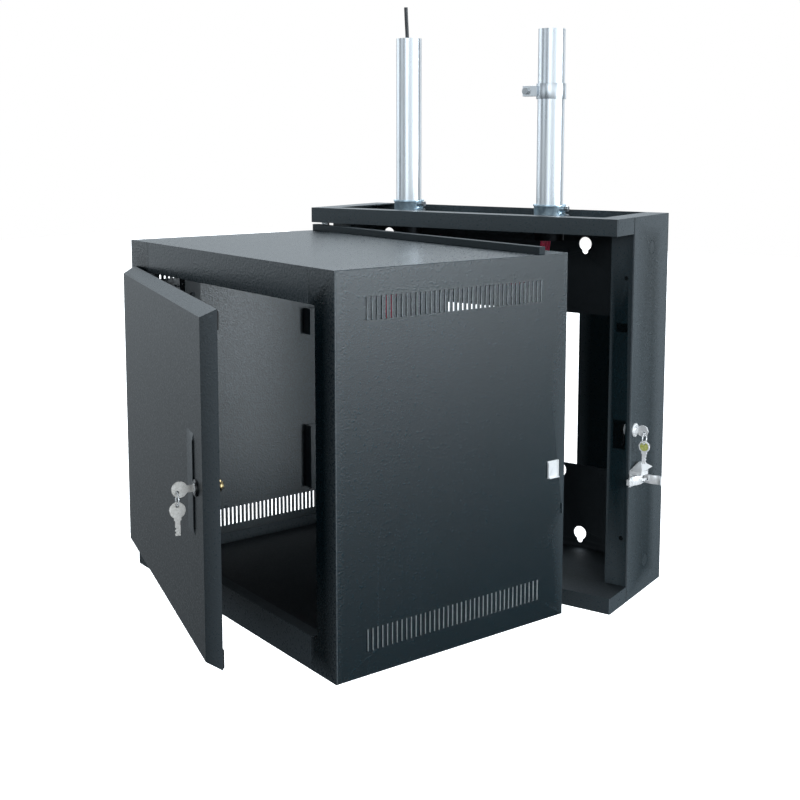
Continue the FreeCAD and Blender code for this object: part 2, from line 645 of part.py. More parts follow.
# ---- key-operated cam locks and their keys
def lock_set(prefix, frame, axis, face, cz, across, reach, cam_dir, cam_len, hook, bow_r, blade_l, shoulder):
    """Lock body, nut, plug, cam, key, split ring and spare key.

    axis 'x': the lock's front looks to +x and `across` is its y;
    axis 'y': the front looks to -y and `across` is its x."""
    cz = Q.of(cz); face = Q.of(face); across = Q.of(across)
    sgn = 1 if axis == "x" else -1          # outward direction along the axis
    br, bl = bow_r.v, blade_l.v

    def span(d0, d1):
        lo, hi = (face + sgn * d0, face + sgn * d1)
        return (lo, hi) if lo.v < hi.v else (hi, lo)

    def C(r, d0, d1):
        lo, hi = span(d0, d1)
        return cyl(r, axis, lo, hi, across, cz)

    def B(d0, d1, a0, a1, z0, z1):
        lo, hi = span(d0, d1)
        if axis == "x":
            return box(lo, hi, across + a0, across + a1, cz + z0, cz + z1)
        return box(across + a0, across + a1, lo, hi, cz + z0, cz + z1)

    def H(af, d0, d1):
        lo, hi = span(d0, d1)
        return hexa(af, axis, lo, hi, across, cz)

    def X(r, d, dz, half):
        """Cylinder across the key's flat side."""
        pos = face + sgn * d
        if axis == "x":
            return cyl(r, "y", across - half, across + half, pos, cz + dz)
        return cyl(r, "x", across - half, across + half, pos, cz + dz)

    back = -reach
    done(cut(fuse(C(11.0, 0, 2.2), C(9.6, 2.2, 3.2), C(D["BarrelR"], back, 0)), C(D["PlugR"] + 0.05, back - 1, 4)),
         prefix + "_lock_body", frame)
    n0 = -(T.v + 0.1) if axis == "x" else -(D["Skin"].v + 0.1)
    done(cut(H(22.0, n0 - 4.0, n0), C(D["BarrelR"], -12, 2)), prefix + "_lock_nut", frame)
    # plug with its keyway and square drive
    done(cut(fuse(C(D["PlugR"], back, 3.6), B(back - 6.4, back, -2.5, 2.5, -2.5, 2.5)),
             B(-16 if reach > 17 else -12, 5, -D["KeyT"] / 2, D["KeyT"] / 2, -D["BladeW"] / 2, D["BladeW"] / 2)),
         prefix + "_lock_plug", frame)
    # cam on the drive, with its nut
    t0, t1 = back - 3.4, back - 0.6
    ang = math.radians(cam_dir)
    ca, sa = math.cos(ang), math.sin(ang)
    n = 7.0
    prof = [(-5, n / 2), (cam_len, n / 2), (cam_len, -n / 2), (-5, -n / 2)]
    if hook:
        prof = [(-5, n / 2), (cam_len, n / 2), (cam_len, -n / 2 - hook), (cam_len - 2.0, -n / 2 - hook), (cam_len - 2.0, -n / 2), (-5, -n / 2)]
    prof = [(ca * p - sa * q, sa * p + ca * q) for p, q in prof]
    w = tmp("Part::Polygon", "outline")
    lo = span(t0, t1)[0].v
    if axis == "x":
        w.Nodes = [V(lo, across.v + a, cz.v + b) for a, b in prof]
        dirv = V(1, 0, 0)
    else:
        w.Nodes = [V(across.v + a, lo, cz.v + b) for a, b in prof]
        dirv = V(0, 1, 0)
    w.Close = True
    e = tmp("Part::Extrusion", "prism")
    e.Base = w; e.DirMode = "Custom"; e.Dir = dirv; e.Solid = True; e.LengthFwd = abs(t1 - t0)
    done(cut(fuse(e, C(7.6, t0, t1), H(9.0, back - 6.2, t0)),
             B(back - 8, back + 2, -2.5, 2.5, -2.5, 2.5)), prefix + "_lock_cam", frame)
    # key in the lock
    bc = shoulder + br                      # bow centre in front of the face
    kt, bw = D["KeyT"], D["BladeW"]
    hd, hz = bc + 3.2, -3.2                 # hole in the bow
    depth = -12 if reach > 17 else -9
    done(cut(fuse(X(bow_r, bc, 0, kt / 2),
                  B(depth, bc, -kt / 2, kt / 2, -bw / 2, bw / 2),
                  B(3.7, shoulder + 4, -kt / 2, kt / 2, -4.6, 4.6)),
             X(2.2, hd, hz, 3)), prefix + "_key", frame)
    # ring through both bows
    tor = tmp("Part::Torus", "ring")
    setq(tor, "Radius1", D["RingR"]); setq(tor, "Radius2", D["RingWire"])
    pos = face + sgn * hd
    rz = cz + hz - D["RingR"]
    if axis == "x":
        place(tor, pos, across, rz, R(V(0, 1, 0), 90))
    else:
        place(tor, across, pos, rz, R(V(1, 0, 0), 90))
    done(tor, prefix + "_key_ring", frame)
    # spare key hanging from the ring
    dz = hz - 2 * D["RingR"].v - br + 4.6
    done(cut(fuse(X(bow_r, hd, dz, kt / 2),
                  B(hd - 3.5, hd + 3.5, -kt / 2, kt / 2, dz - br - bl, dz),
                  B(hd - 4.8, hd + 4.8, -kt / 2, kt / 2, dz - br - 2.5, dz)),
             X(2.2, hd, dz + br - 4.6, 3),
             B(hd + 2.6, hd + 5, -3, 3, dz - br - bl + 3, dz - br - bl + 5.5),
             B(hd + 2.2, hd + 5, -3, 3, dz - br - bl + 8, dz - br - bl + 10.5)), prefix + "_spare_key", frame)


lock_set("pan", FB, "x", PanW, D["PanLockZ"], D["PanLockY"], 15.0, -90.0, 26.0, 4.5, D["PanBowR"], D["PanBladeL"], 4.8)

# ========================================================= centre section
VN, VP = D["VentN"], D["VentPitch"]


def section_side(label, right):
    """Side sheet: louvre slots in two rows, a rear flange folded inwards."""
    body = doc.addObject("PartDesign::Body", label + "_body")
    s = sketch(body, label + "_outline")
    rect(s, T, 0, SecD - T, SecH)
    pad(body, s, T)
    f = sketch(body, label + "_flange")
    for z0, z1 in ((T, Q(205)), (Q(247), SecH - T)):
        rect(f, SecD - T, z0, T, z1 - z0)
    pad(body, f, 20.0 if right else 22.0, right)
    v = sketch(body, label + "_slot")
    rect(v, D["VentStart"], D["VentLoZ"], D["VentW"], D["VentLen"])
    rect(v, D["VentStart"], D["VentHiZ"], D["VentW"], D["VentLen"])
    p = pocket(body, v)
    row(body, p, v, "H_Axis", (VN - 1) * VP, VN)
    if right:
        c = sketch(body, label + "_catch")
        rect(c, 400.0, 155.5, 1.5, 15.0)
        pad(body, c, 4.0)
    off = (SecW - T).v if right else 0.0
    body_done(body, label, FS, P(V(off, 0, 0), TURN))


section_side("section_side_left", False)
section_side("section_side_right", True)

SW, TW, BL, BH, FDp = D["StileW"], D["TabW"], D["BeamLo"], D["BeamHi"], D["FoldD"]
PU, PV = D["PivX"], D["PivY"] - sv          # pivot in the section frame
top = cut(fuse(
    box(T, SecW - T, T, SecD, SecH - T, SecH),
    box(TW, SecW - TW, 0, T, BH, SecH),
    box(TW, SecW - TW, T, FDp, BH, BH + T),
    box(T + 20, SecW - T - 20, SecD - T, SecD, SecH - 20, SecH - T)),
    cyl(D["BushRad"], "z", SecH - 5, SecH + 5, PU, PV))
done(top, "section_top", FS)
bottom = cut(fuse(
    box(T, SecW - T, T, SecD, 0, T),
    box(TW, SecW - TW, 0, T, 0, BL),
    box(TW, SecW - TW, T, FDp, BL - T, BL),
    box(T, 2 * T, T + 20, SecD - T - 3, T, 20),
    box(SecW - 2 * T, SecW - T, T + 20, SecD - T - 3, T, 20),
    box(T + 20, SecW - T - 20, SecD - T, SecD, T, 20)),
    cyl(D["BushRad"], "z", -5, 5, PU, PV))
done(bottom, "section_bottom", FS)


def stile(label, right):
    """Front corner post of the opening, with tabs that carry the beams."""
    if right:
        post = box(SecW - SW, SecW, 0, T, BL, BH)
        tabs = [box(SecW - TW, SecW, 0, T, 0, BL), box(SecW - TW, SecW, 0, T, BH, SecH)]
        fold = [box(SecW - SW, SecW - SW + T, T, FDp, BL, 236), box(SecW - SW, SecW - SW + T, T, FDp, 306, BH)]
    else:
        post = box(0, SW, 0, T, BL, BH)
        tabs = [box(0, TW, 0, T, 0, BL), box(0, TW, 0, T, BH, SecH)]
        fold = [box(SW - T, SW, T, FDp, BL, BH)]
    done(fuse(post, *(tabs + fold)), label, FS)


stile("front_stile_left", False)
stile("front_stile_right", True)


def rack_rail(label, right):
    """Tapped 19 inch mounting rail, ten units."""
    body = doc.addObject("PartDesign::Body", label + "_body")
    s = sketch(body, label + "_face")
    rect(s, 0, 0, D["RailFace"], 10 * D["RackUnit"])
    pad(body, s, T)
    w = sketch(body, label + "_web")
    x0 = D["RailFace"] if right else -T
    rect(w, x0, 0, T, 10 * D["RackUnit"])
    pad(body, w, 34.0, True)
    w2 = sketch(body, label + "_corner")
    rect(w2, x0, 0, T, 10 * D["RackUnit"])
    pad(body, w2, T)
    c = sketch(body, label + "_holes")
    for z in (6.35, 22.225, 38.1):
        circle(c, D["RailFace"] / 2, z, D["RailHoleR"])
    p = pocket(body, c)
    row(body, p, c, "V_Axis", 9 * D["RackUnit"], 10)
    u0 = SecW / 2 + D["RackHalf"] - D["RailFace"] / 2 if right else SecW / 2 - D["RackHalf"] - D["RailFace"] / 2
    body_done(body, label, FS, P(V(u0.v, (D["RailBack"] + T).v, 47.25), UPRIGHT))


rack_rail("rack_rail_left", False)
rack_rail("rack_rail_right", True)

RB = D["RailBack"]
ul = SecW / 2 - D["RackHalf"] - D["RailFace"] / 2 - T       # outer face of the left rail's web
ur = SecW / 2 + D["RackHalf"] + D["RailFace"] / 2 + T


def bracket(u_wall, u_rail, z):
    lo, hi = (u_wall, u_rail) if u_wall.v < u_rail.v else (u_rail, u_wall)
    return fuse(box(lo, hi, RB + 2, RB + 36, z, z + T),
                box(lo, lo + T, RB + 2, RB + 36, z - 16, z),
                box(hi - T, hi, RB + 2, RB + 36, z - 16, z))


done(group(bracket(T, ul, Q(88)), bracket(T, ul, Q(458)),
           bracket(SecW - T, ur, Q(88)), bracket(SecW - T, ur, Q(458))), "rail_brackets", FS)


def rail_screw(u, z, inward):
    u = Q.of(u)
    if inward > 0:
        return fuse(cyl(4.2, "x", u, u + 2.2, RB + 22, z), cyl(1.8, "x", u, u + 0.6, RB + 22, z))
    return fuse(cyl(4.2, "x", u - 2.2, u, RB + 22, z), cyl(1.8, "x", u - 0.6, u, RB + 22, z))


done(group(*[rail_screw(ul + T, z, 1) for z in (80, 450)] + [rail_screw(ur - T, z, -1) for z in (80, 450)]), "rail_screws", FS)


def rear_bracket(left, z0, z1):
    if left:
        return fuse(box(T, 2 * T, 328, 362, z0, z1), box(2 * T, 22, 328, 330, z0, z1))
    return fuse(box(SecW - 2 * T, SecW - T, 328, 362, z0, z1), box(SecW - 22, SecW - 2 * T, 328, 330, z0, z1))


done(group(*[rear_bracket(s, a, b) for s in (True, False) for a, b in ((75, 189), (355, 402))]), "rear_rail_brackets", FS)

sb = SecD - D["StripBack"]
done(box(0, SecW, sb, sb + D["StripD"], SecH, SecH + D["StripT"]), "seal_strip", FS)

# pivot bushes and the plates they sit in
done(group(
    fuse(ring(D["BushRad"], D["PinRad"] + D["RunFit"], "z", SecH - 5, SecH, PU, PV),
         ring(6.9, D["PinRad"] + D["RunFit"], "z", SecH, SecH + 1, PU, PV)),
    fuse(ring(D["BushRad"], D["PinRad"] + D["RunFit"], "z", 0, 5, PU, PV),
         ring(6.9, D["PinRad"] + D["RunFit"], "z", -1, 0, PU, PV))), "pivot_bushes", FS)
done(group(
    cut(box(2 * T, 46, PV - 20, PV + 32, SecH - 5, SecH - T), cyl(D["BushRad"], "z", SecH - 8, SecH + 1, PU, PV)),
    cut(box(2 * T, 46, PV - 20, PV + 32, T, 5), cyl(D["BushRad"], "z", -1, 8, PU, PV))), "pivot_plates", FS)

# keeper that the pan lock's cam and a padlock strap bear on
done(fuse(box(SecW, SecW + 1.2, 370.5, 391.5, 212, 238),
          box(SecW + 1.2, SecW + 3.4, 370.5, 372.2, 214, 236),
          box(SecW + 1.2, SecW + 4.6, 372.2, 391.5, 212, 213.6),
          box(SecW + 1.2, SecW + 2.8, 389.5, 391.5, 213.6, 238)), "keeper_plate", FS)

# door hinge brackets on the front of the left stile
du, dv = D["DoorU"] + D["HingeX"], -D["DoorGap"] - D["HingeY"]


def hinge_bracket(z0, z1, b0, b1):
    return cut(fuse(box(du + 7, du + 24, -T, 0, b0, b1),
                    box(du - 3.5, du + 24, dv - 3.5, 0 - T, z0, z1),
                    box(du + 7, du + 24, -T, 0, z0, z1)),
               cyl(D["HingePinR"] + 0.05, "z", z0 - 1, z1 + 1, du, dv))


dtop, dlow = D["DoorHi"], D["DoorLo"]
done(group(hinge_bracket(dtop - 17, dtop - 14, dtop - 34, dtop - 8),
           hinge_bracket(dlow + 14, dlow + 17, dlow + 8, dlow + 34)), "door_hinge_brackets", FS)

# =================================================================== door
BV, SK, DT, DW = D["Bevel"], D["Skin"], D["DoorT"], D["DoorW"]


def frustum(x0, x1, z0, z1, y0, y1, bev0):
    """Block tapering from a wide rectangle at y1 to one smaller by bev0 at y0."""
    o = tmp("Part::Wedge", "taper")
    x0, x1, z0, z1, y0, y1, bev0 = [Q.of(q) for q in (x0, x1, z0, z1, y0, y1, bev0)]
    for prop, q in (("Ymin", y0), ("Ymax", y1), ("Xmin", x0 + bev0), ("Xmax", x1 - bev0), ("Zmin", z0 + bev0),
                    ("Zmax", z1 - bev0), ("X2min", x0), ("X2max", x1), ("Z2min", z0), ("Z2max", z1)):
        setq(o, prop, q)
    return o


outer = frustum(0, DW, dlow, dtop, -DT, 0, BV)
slope = BV / DT
inner = frustum(SK * 1.13 - slope * 1.0, DW - SK * 1.13 + slope * 1.0, dlow + SK * 1.13 - slope * 1.0,
                dtop - SK * 1.13 + slope * 1.0, -DT + SK, 1.0, slope * (DT - SK + 1.0))
pz0_, pz1_ = D["PullZ"], D["PullZ"] + D["PullH"]
shell = fuse(
    cut(outer, inner),
    box(DW - 14, DW - 1.6, -SK, 0, dlow + 1.6, dtop - 1.6),
    box(14, DW - 14, -SK, 0, dtop - 12, dtop - 1.6),
    box(14, DW - 14, -SK, 0, dlow + 1.6, dlow + 12))
skin = cut(shell,
           cyl(D["BarrelR"], "y", -DT - 1, -DT + SK + 1, D["LockX"], D["LockZ"]),
           box(-1, 11.5, -DT - 0.5, 1, dtop - 18, dtop - 13),
           box(-1, 11.5, -DT - 0.5, 1, dlow + 13, dlow + 18))
done(skin, "door_skin", FD)

# finger pull: a long shallow ramp raised off the skin, undercut at its free side
PXa, PXb, YD = 452.0, 489.4, (-DT).v
ramp = tmp("Part::Wedge", "ramp")
for prop, val in (("Xmin", PXb - 1.5), ("Xmax", PXb), ("Ymin", YD - 2.1), ("Ymax", YD), ("Zmin", pz0_.v + 10.0), ("Zmax", pz1_.v - 10.0),
                  ("X2min", PXa), ("X2max", PXb), ("Z2min", pz0_.v), ("Z2max", pz1_.v)):
    setattr(ramp, prop, val)
done(cut(ramp, box(PXb - 4.0, PXb + 1.0, YD - 1.1, YD + 1.0, pz0_ + 9, pz1_ - 9)), "finger_pull", FD)

# hinge leaves and pins
def leaf(z0, z1):
    return cut(poly([(4.75, -5.6), (4.75, -1.5), (34.0, -1.5), (34.0, -12.0), (8.25, -12.0)], z0, z1),
               cyl(D["HingePinR"], "z", z0 - 1, z1 + 1, D["HingeX"], -D["HingeY"]))


done(group(leaf(dtop - 20.8, dtop - 17.2), leaf(dlow + 17.2, dlow + 20.8)), "door_hinge_leaves", FD)
done(group(cyl(D["HingePinR"], "z", dtop - 24, dtop - 11.5, D["HingeX"], -D["HingeY"]),
           cyl(D["HingePinR"], "z", dlow + 11.5, dlow + 24, D["HingeX"], -D["HingeY"])), "door_hinge_pins", FD)
done(group(box(DW - 11, DW - 1.6, 0, 2.4, dtop - 26, dtop - 2),
           box(DW - 11, DW - 1.6, 0, 2.4, dlow + 2, dlow + 26)), "door_bumpers", FD)

lock_set("door", FD, "y", -DT, D["LockZ"], D["LockX"], 28.0, 180.0, 30.5, 0, D["BowR"], D["BladeL"], 10.6)

# ================================================================= finish
doc.recompute()
bad = []
for o in doc.Objects:
    st = " ".join(str(x) for x in o.State)
    if "Invalid" in st or "Error" in st:
        bad.append("%s %s %s" % (o.Name, o.Label, st))
for o, label in parts:
    sh = o.Shape
    if sh.isNull() or not sh.isValid() or sh.Volume < 1e-3:
        bad.append("%s has a bad shape" % label)
if bad:
    raise RuntimeError("model not sound: " + "; ".join(bad))
names = [label for o, label in parts]
if len(set(names)) != len(names) or len(names) > 60:
    raise RuntimeError("sub-part names: %d, %d distinct" % (len(names), len(set(names))))
os.makedirs("parts", exist_ok=True)
for o, label in parts:
    o.Shape.exportStep("parts/%s.step" % label)
print("wrote %d sub-parts" % len(parts))
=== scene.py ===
import bpy
import bmesh
import json
import math
from mathutils import Matrix, Vector


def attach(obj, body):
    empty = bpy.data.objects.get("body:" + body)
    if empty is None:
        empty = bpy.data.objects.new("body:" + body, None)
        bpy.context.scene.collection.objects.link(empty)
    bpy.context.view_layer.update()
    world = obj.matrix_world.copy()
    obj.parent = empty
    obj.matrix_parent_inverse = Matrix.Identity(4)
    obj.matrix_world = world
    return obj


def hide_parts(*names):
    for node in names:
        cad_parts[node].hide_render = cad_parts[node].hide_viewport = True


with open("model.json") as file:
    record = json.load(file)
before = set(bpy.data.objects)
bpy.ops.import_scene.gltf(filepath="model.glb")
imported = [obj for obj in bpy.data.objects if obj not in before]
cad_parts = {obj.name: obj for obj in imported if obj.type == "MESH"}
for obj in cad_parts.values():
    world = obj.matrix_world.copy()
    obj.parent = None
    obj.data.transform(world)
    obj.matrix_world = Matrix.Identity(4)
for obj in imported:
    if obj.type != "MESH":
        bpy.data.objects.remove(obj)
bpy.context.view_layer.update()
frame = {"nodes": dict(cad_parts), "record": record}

NODES = frame["nodes"]
scene = bpy.context.scene


# ------------------------------------------------------------------ frames
# The same three frames as the model, here in millimetres to metres.
def B(x, y, z):
    """Back pan: x from its left side, y from the front of its rails, z up."""
    return Vector(((x - 233.2) / 1000, (y - 205.0) / 1000, (z - 308.0) / 1000))


def _rot(x, y, deg):
    a = math.radians(deg)
    return math.cos(a) * x - math.sin(a) * y, math.sin(a) * x + math.cos(a) * y


SWING, DOOR = -19.26, -14.83


def S(u, v, z):
    """Centre section: u from its left side, v from its front, z from its floor."""
    x, y = _rot(u - 12.0, v - 344.0 - 25.0, SWING)
    return B(12.0 + x, 25.0 + y, z + 41.0)


def Dp(x, y, z):
    """Door: x from its hinged edge, y from its back plane, z as the section's."""
    a, b = _rot(x - 6.2, y + 5.5, DOOR)
    return S(18.2 + a, -8.5 + b, z)


def local(kind):
    """Matrix from a frame's metres to the scene."""
    if kind == "B":
        return Matrix.Translation(B(0, 0, 0))
    f = S if kind == "S" else Dp
    o = f(0, 0, 0)
    ex, ey = (f(1000, 0, 0) - o).normalized(), (f(0, 1000, 0) - o).normalized()
    m = Matrix.Identity(4)
    m.col[0][:3], m.col[1][:3], m.col[2][:3], m.col[3][:3] = ex, ey, Vector((0, 0, 1)), o
    return m


FRAME = {"back_pan": "B", "latch_lever": "B", "latch_claw": "B", "pan_lock_cylinder": "B", "pan_spare_keys": "B",
         "centre_section": "S", "door": "D", "door_lock_cylinder": "D", "door_spare_keys": "D"}
LOCAL = {k: local(k) for k in ("B", "S", "D")}
INVERSE = {k: LOCAL[k].inverted() for k in LOCAL}
BODY_OF = {}
for body, members in frame["record"]["behaviour"]["bodies"].items():
    for n in members:
        BODY_OF[n] = body

# ------------------------------------------------------------------ camera
CAM = dict(x=1.109359, y=-1.942257, z=0.437522, yaw=-0.586463, pitch=0.121386, roll=0.00041, f=1236.219, sx=0.0, sy=-0.14)
cam_data = bpy.data.cameras.new("camera")
cam = bpy.data.objects.new("camera", cam_data)
scene.collection.objects.link(cam)
scene.camera = cam
fwd = Vector((math.sin(CAM["yaw"]) * math.cos(CAM["pitch"]), math.cos(CAM["yaw"]) * math.cos(CAM["pitch"]), -math.sin(CAM["pitch"])))
rgt = Vector((math.cos(CAM["yaw"]), -math.sin(CAM["yaw"]), 0.0))
up = rgt.cross(fwd)
cr, sr = math.cos(CAM["roll"]), math.sin(CAM["roll"])
rgt, up = cr * rgt + sr * up, cr * up - sr * rgt
m = Matrix.Identity(4)
m.col[0][:3], m.col[1][:3], m.col[2][:3], m.col[3][:3] = rgt, up, -fwd, Vector((CAM["x"], CAM["y"], CAM["z"]))
cam.matrix_world = m
cam_data.sensor_width = 36.0
cam_data.lens = CAM["f"] / 800.0 * 36.0
cam_data.shift_x, cam_data.shift_y = CAM["sx"], CAM["sy"]
cam_data.clip_start, cam_data.clip_end = 0.05, 60.0


# --------------------------------------------------------------- materials
class Nodes(object):
    """Small helper to lay out a material's nodes."""
    def __init__(self, name):
        self.mat = bpy.data.materials.new(name)
        self.mat.use_nodes = True
        self.t = self.mat.node_tree
        self.t.nodes.clear()
        self.out = self.t.nodes.new("ShaderNodeOutputMaterial")
        self.bsdf = self.t.nodes.new("ShaderNodeBsdfPrincipled")
        self.t.links.new(self.bsdf.outputs["BSDF"], self.out.inputs["Surface"])
        self.tc = self.t.nodes.new("ShaderNodeTexCoord")

    def link(self, a, b):
        self.t.links.new(a, b)

    def set(self, **kw):
        for k, v in kw.items():
            self.bsdf.inputs[k.replace("_", " ")].default_value = v

    def mapped(self, scale=(1, 1, 1), rot=(0, 0, 0)):
        n = self.t.nodes.new("ShaderNodeMapping")
        n.inputs["Scale"].default_value = scale
        n.inputs["Rotation"].default_value = rot
        self.link(self.tc.outputs["Object"], n.inputs["Vector"])
        return n.outputs["Vector"]

    def noise(self, vec, scale, detail=2.0, rough=0.5, dist=0.0):
        n = self.t.nodes.new("ShaderNodeTexNoise")
        n.inputs["Scale"].default_value = scale
        n.inputs["Detail"].default_value = detail
        n.inputs["Roughness"].default_value = rough
        n.inputs["Distortion"].default_value = dist
        self.link(vec, n.inputs["Vector"])
        return n.outputs["Fac"]

    def voronoi(self, vec, scale, feature="F1"):
        n = self.t.nodes.new("ShaderNodeTexVoronoi")
        n.feature = feature
        n.inputs["Scale"].default_value = scale
        self.link(vec, n.inputs["Vector"])
        return n.outputs["Distance"]

    def ramp(self, fac, stops, ease="LINEAR"):
        n = self.t.nodes.new("ShaderNodeValToRGB")
        n.color_ramp.interpolation = ease
        els = n.color_ramp.elements
        while len(els) > len(stops):
            els.remove(els[-1])
        while len(els) < len(stops):
            els.new(0.5)
        for e, (p, c) in zip(els, stops):
            e.position = p
            e.color = c if len(c) == 4 else (*c, 1.0)
        self.link(fac, n.inputs["Fac"])
        return n.outputs["Color"]

    def range(self, fac, lo, hi, a=0.0, b=1.0):
        n = self.t.nodes.new("ShaderNodeMapRange")
        n.inputs["From Min"].default_value = a
        n.inputs["From Max"].default_value = b
        n.inputs["To Min"].default_value = lo
        n.inputs["To Max"].default_value = hi
        self.link(fac, n.inputs["Value"])
        return n.outputs["Result"]

    def math(self, op, a, b):
        n = self.t.nodes.new("ShaderNodeMath")
        n.operation = op
        for k, v in ((0, a), (1, b)):
            if isinstance(v, (int, float)):
                n.inputs[k].default_value = v
            else:
                self.link(v, n.inputs[k])
        return n.outputs[0]

    def mix(self, fac, a, b, mode="MIX"):
        n = self.t.nodes.new("ShaderNodeMix")
        n.data_type = "RGBA"
        n.blend_type = mode
        ins = [i for i in n.inputs if i.type == "RGBA"]
        if isinstance(fac, (int, float)):
            n.inputs[0].default_value = fac
        else:
            self.link(fac, n.inputs[0])
        for s, v in ((ins[0], a), (ins[1], b)):
            if isinstance(v, tuple):
                s.default_value = v if len(v) == 4 else (*v, 1.0)
            else:
                self.link(v, s)
        return [o for o in n.outputs if o.type == "RGBA"][0]

    def bump(self, height, strength, distance, normal=None):
        n = self.t.nodes.new("ShaderNodeBump")
        n.inputs["Strength"].default_value = strength
        n.inputs["Distance"].default_value = distance
        self.link(height, n.inputs["Height"])
        if normal is not None:
            self.link(normal, n.inputs["Normal"])
        return n.outputs["Normal"]

    def wear(self):
        """0 on flats, rising on outer edges."""
        n = self.t.nodes.new("ShaderNodeNewGeometry")
        return self.range(n.outputs["Pointiness"], 0.0, 1.0, 0.52, 0.60)


def powder(name, lo, hi, rough, grain=520.0, bump=0.55, dist=0.0009, wear=0.25, spec=0.5, speck=0.5):
    """Textured powder coat: wrinkled grain, cloudy tone, glossy specks, rubbed edges."""
    k = Nodes(name)
    v = k.mapped((1.0, 1.0, 1.0))
    fine = k.noise(v, grain, 2.0, 0.6, 0.4)
    cell = k.voronoi(v, grain * 0.8, "SMOOTH_F1")
    cloud = k.noise(k.mapped(), 7.0, 2.0)
    grainy = k.math("ADD", k.math("MULTIPLY", fine, 0.70), k.math("MULTIPLY", cell, 0.45))
    c = k.ramp(grainy, [(0.40, lo), (0.74, hi)])
    c = k.mix(k.range(cloud, 0.0, 0.22, 0.35, 0.7), c, tuple(x * 1.2 for x in hi))
    c = k.mix(k.math("MULTIPLY", k.wear(), wear), c, (0.20, 0.23, 0.25))
    k.link(c, k.bsdf.inputs["Base Color"])
    k.link(k.range(grainy, rough + 0.12 * speck * 2, rough - 0.10 * speck * 2, 0.42, 0.72), k.bsdf.inputs["Roughness"])
    k.link(k.bump(grainy, bump, dist), k.bsdf.inputs["Normal"])
    k.set(Specular_IOR_Level=spec)
    return k.mat


def metal(name, lo, hi, rough, scale=(1, 1, 1), freq=60.0, bump=0.05, dist=0.0002, wear=0.2, dirt=0.25, metallic=1.0):
    """Bare or plated metal: brushed or cloudy tone, fine scratches, darker patches at random."""
    k = Nodes(name)
    v = k.mapped(scale)
    a = k.noise(v, freq, 4.0, 0.6, 0.3)
    s = k.noise(k.mapped((1.0, 1.0, 1.0)), freq * 6.0, 2.0, 0.5)
    c = k.ramp(a, [(0.32, lo), (0.66, hi)])
    c = k.mix(k.range(s, 0.0, dirt, 0.5, 0.85), c, tuple(x * 0.55 for x in lo))
    c = k.mix(k.math("MULTIPLY", k.wear(), wear), c, tuple(min(1.0, x * 1.15) for x in hi))
    k.link(c, k.bsdf.inputs["Base Color"])
    k.set(Metallic=metallic)
    k.link(k.range(a, rough * 0.75, rough * 1.35, 0.3, 0.7), k.bsdf.inputs["Roughness"])
    k.link(k.bump(s, bump, dist), k.bsdf.inputs["Normal"])
    return k.mat


def plastic(name, lo, hi, rough, freq=220.0, bump=0.12, dist=0.0002, coat=0.0):
    k = Nodes(name)
    a = k.noise(k.mapped(), freq, 3.0, 0.55)
    b = k.noise(k.mapped(), 24.0, 2.0)
    c = k.mix(k.range(b, 0.0, 0.5, 0.3, 0.7), k.ramp(a, [(0.3, lo), (0.7, hi)]), lo)
    k.link(c, k.bsdf.inputs["Base Color"])
    k.link(k.range(a, rough - 0.05, rough + 0.08, 0.3, 0.7), k.bsdf.inputs["Roughness"])
    k.link(k.bump(a, bump, dist), k.bsdf.inputs["Normal"])
    if coat:
        k.set(Coat_Weight=coat, Coat_Roughness=0.1)
    return k.mat


def capped_key(name, centre, r):
    """Plated key with a round plastic cap of radius r on its bow."""
    k = Nodes(name)
    d = k.t.nodes.new("ShaderNodeVectorMath")
    d.operation = "SUBTRACT"
    d.inputs[1].default_value = centre
    k.link(k.tc.outputs["Object"], d.inputs[0])
    f = k.t.nodes.new("ShaderNodeVectorMath")
    f.operation = "MULTIPLY"
    f.inputs[1].default_value = (1.0, 0.0, 1.0)
    k.link(d.outputs["Vector"], f.inputs[0])
    g = k.t.nodes.new("ShaderNodeVectorMath")
    g.operation = "LENGTH"
    k.link(f.outputs["Vector"], g.inputs[0])
    a = k.noise(k.mapped(), 260.0, 3.0, 0.55)
    cap = k.ramp(a, [(0.35, (0.46, 0.50, 0.06)), (0.68, (0.74, 0.76, 0.30))])
    steel = k.ramp(a, [(0.3, (0.90, 0.91, 0.92)), (0.7, (0.98, 0.98, 0.98))])
    k.link(k.mix(k.range(g.outputs["Value"], 0.0, 1.0, r - 0.0003, r + 0.0003), cap, steel), k.bsdf.inputs["Base Color"])
    k.link(k.range(a, 0.24, 0.38, 0.3, 0.7), k.bsdf.inputs["Roughness"])
    k.link(k.bump(a, 0.1, 0.0002), k.bsdf.inputs["Normal"])
    return k.mat


M = {}
# One black powder coat in lit and shaded copies: the top, the inner walls and brackets, and the finger pull are painted
# lighter, the front frame darker and the bottom beam darker still, for how light falls on each.
M["shell"] = powder("powder_shell", (0.0002, 0.0040, 0.0060), (0.0060, 0.0200, 0.0270), 0.19, grain=560, bump=0.36, dist=0.0008, speck=0.25)
M["shell_top"] = powder("powder_top", (0.0080, 0.0115, 0.0135), (0.022, 0.029, 0.033), 0.28, grain=480, bump=0.22, dist=0.0006, speck=0.3)
M["front"] = powder("powder_front", (0.0001, 0.0030, 0.0045), (0.0020, 0.0100, 0.0140), 0.27, grain=430, bump=0.42, dist=0.0010, speck=0.3)
M["front_low"] = powder("powder_front_low", (0.0001, 0.0028, 0.0042), (0.0018, 0.0090, 0.0128), 0.30, grain=430, bump=0.42, dist=0.0010, speck=0.3, spec=0.28)
M["door"] = powder("powder_door", (0.0060, 0.0100, 0.0120), (0.020, 0.028, 0.033), 0.31, grain=460, bump=0.25, dist=0.0008, speck=0.3)
M["pan"] = powder("powder_pan", (0.0004, 0.0045, 0.0062), (0.0090, 0.0240, 0.0310), 0.31, grain=430, bump=0.32, dist=0.0010, speck=0.3)
